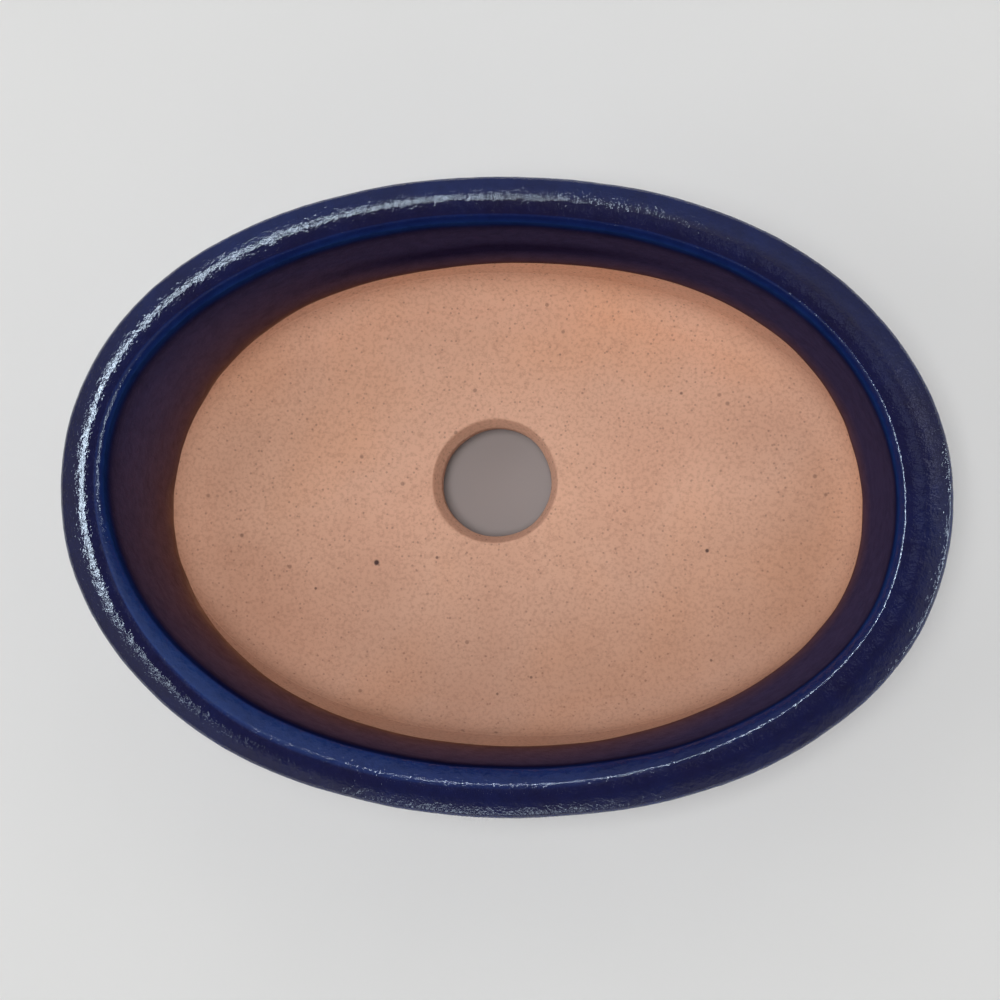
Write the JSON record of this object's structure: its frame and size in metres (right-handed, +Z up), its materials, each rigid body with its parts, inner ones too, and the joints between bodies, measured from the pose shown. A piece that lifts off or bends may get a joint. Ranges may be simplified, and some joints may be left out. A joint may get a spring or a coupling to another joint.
{
  "type": "oval bonsai pot",
  "caption": "Shallow oval bonsai pot on low feet, with a leaning wall, a thick rolled lip, a drain hole off the middle of the floor, and a glossy glaze over bare clay.",
  "frame": {"origin": "middle of the pot's footprint, on the surface that its feet stand on", "axes": "+X along the oval's long axis, +Y across it towards the back, +Z up out of the pot's mouth"},
  "size_m": [0.17, 0.122, 0.05],
  "materials": {
    "bare_clay": "matte, unglazed, with fine dark grog",
    "blue_glaze": "glossy, with a slight orange-peel surface"
  },
  "bodies": {
    "root": {"floor_slab": "bare_clay", "corner_coil": "bare_clay", "wall": "bare_clay", "lip": "bare_clay", "foot_front_left": "bare_clay", "foot_front_right": "bare_clay", "foot_back_left": "bare_clay", "foot_back_right": "bare_clay", "glaze_coat": "blue_glaze"}
  },
  "joints": []
}
